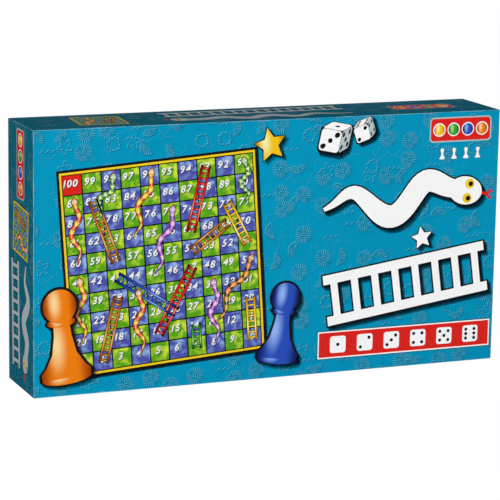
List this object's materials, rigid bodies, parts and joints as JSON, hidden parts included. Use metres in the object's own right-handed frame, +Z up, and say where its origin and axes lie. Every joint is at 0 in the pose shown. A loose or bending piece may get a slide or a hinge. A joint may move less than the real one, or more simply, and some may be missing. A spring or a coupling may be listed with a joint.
{
  "type": "boxed snakes and ladders game",
  "caption": "Setup box with a lift-off lid, holding a folding playing board, card insert, rules sheet, pawn counters and a die.",
  "frame": {"origin": "middle of the closed box's footprint, on the long side that it stands on", "axes": "+Z up; +X along the box's long edge, to the right as the cover is seen; +Y from the cover to the back"},
  "size_m": [0.37, 0.062, 0.195],
  "materials": {
    "greyboard": "matte",
    "corner_tape": "matte",
    "lid_print": "gloss",
    "base_print": "satin",
    "liner_paper": "matte",
    "insert_card": "matte",
    "rules_paper": "matte",
    "board_print": "satin",
    "board_backing": "matte",
    "hinge_cloth": "matte",
    "plastic_red": "gloss",
    "plastic_yellow": "gloss",
    "plastic_green": "gloss",
    "plastic_blue": "gloss",
    "plastic_white": "gloss",
    "pip_paint": "matte"
  },
  "bodies": {
    "base": {"base_chipboard": "greyboard", "base_corner_stays": "corner_tape", "base_wrap": "base_print", "base_liner": "liner_paper", "card_insert": "insert_card"},
    "lid": {"lid_chipboard": "greyboard", "lid_corner_stays": "corner_tape", "lid_wrap": "lid_print", "lid_liner": "liner_paper"},
    "board_back": {"board_core_back": "greyboard", "board_print_back": "board_print", "board_backing_back": "board_backing", "hinge_tape_back": "hinge_cloth"},
    "board_front": {"board_core_front": "greyboard", "board_print_front": "board_print", "board_backing_front": "board_backing", "hinge_tape_front": "hinge_cloth"},
    "rules": {"rules_sheet": "rules_paper"},
    "counter_red": {"counter_red": "plastic_red"},
    "counter_yellow": {"counter_yellow": "plastic_yellow"},
    "counter_green": {"counter_green": "plastic_green"},
    "counter_blue": {"counter_blue": "plastic_blue"},
    "die": {"die": "plastic_white", "die_pips": "pip_paint"}
  },
  "joints": [
    {"name": "lid_off", "type": "slide", "parent": "base", "child": "lid", "axis": [0, -1, 0], "range_m": [0, 0.66]},
    {"name": "board_out", "type": "slide", "parent": "base", "child": "board_back", "axis": [0, -1, 0], "range_m": [0, 0.0794]},
    {"name": "rules_out", "type": "slide", "parent": "base", "child": "rules", "axis": [0, -1, 0], "range_m": [0, 0.0662]},
    {"name": "counter_red_out", "type": "slide", "parent": "base", "child": "counter_red", "axis": [0, -1, 0], "range_m": [0, 0.0596]},
    {"name": "counter_yellow_out", "type": "slide", "parent": "base", "child": "counter_yellow", "axis": [0, -1, 0], "range_m": [0, 0.0596]},
    {"name": "counter_green_out", "type": "slide", "parent": "base", "child": "counter_green", "axis": [0, -1, 0], "range_m": [0, 0.0596]},
    {"name": "counter_blue_out", "type": "slide", "parent": "base", "child": "counter_blue", "axis": [0, -1, 0], "range_m": [0, 0.0596]},
    {"name": "die_out", "type": "slide", "parent": "base", "child": "die", "axis": [0, -1, 0], "range_m": [0, 0.0596]},
    {"name": "board_unfold", "type": "hinge", "parent": "board_back", "child": "board_front", "pos_m": [0, -0.02125, 0.184], "axis": [-1, 0, 0], "range_deg": [0, 180]}
  ],
  "couplings": [
    {"joint": "board_out", "follows": "lid_off", "ratio": 0.12},
    {"joint": "rules_out", "follows": "lid_off", "ratio": 0.1},
    {"joint": "counter_red_out", "follows": "lid_off", "ratio": 0.09},
    {"joint": "counter_yellow_out", "follows": "lid_off", "ratio": 0.09},
    {"joint": "counter_green_out", "follows": "lid_off", "ratio": 0.09},
    {"joint": "counter_blue_out", "follows": "lid_off", "ratio": 0.09},
    {"joint": "die_out", "follows": "lid_off", "ratio": 0.09},
    {"joint": "board_unfold", "follows": "lid_off", "rad_per_m": 4.7599}
  ]
}
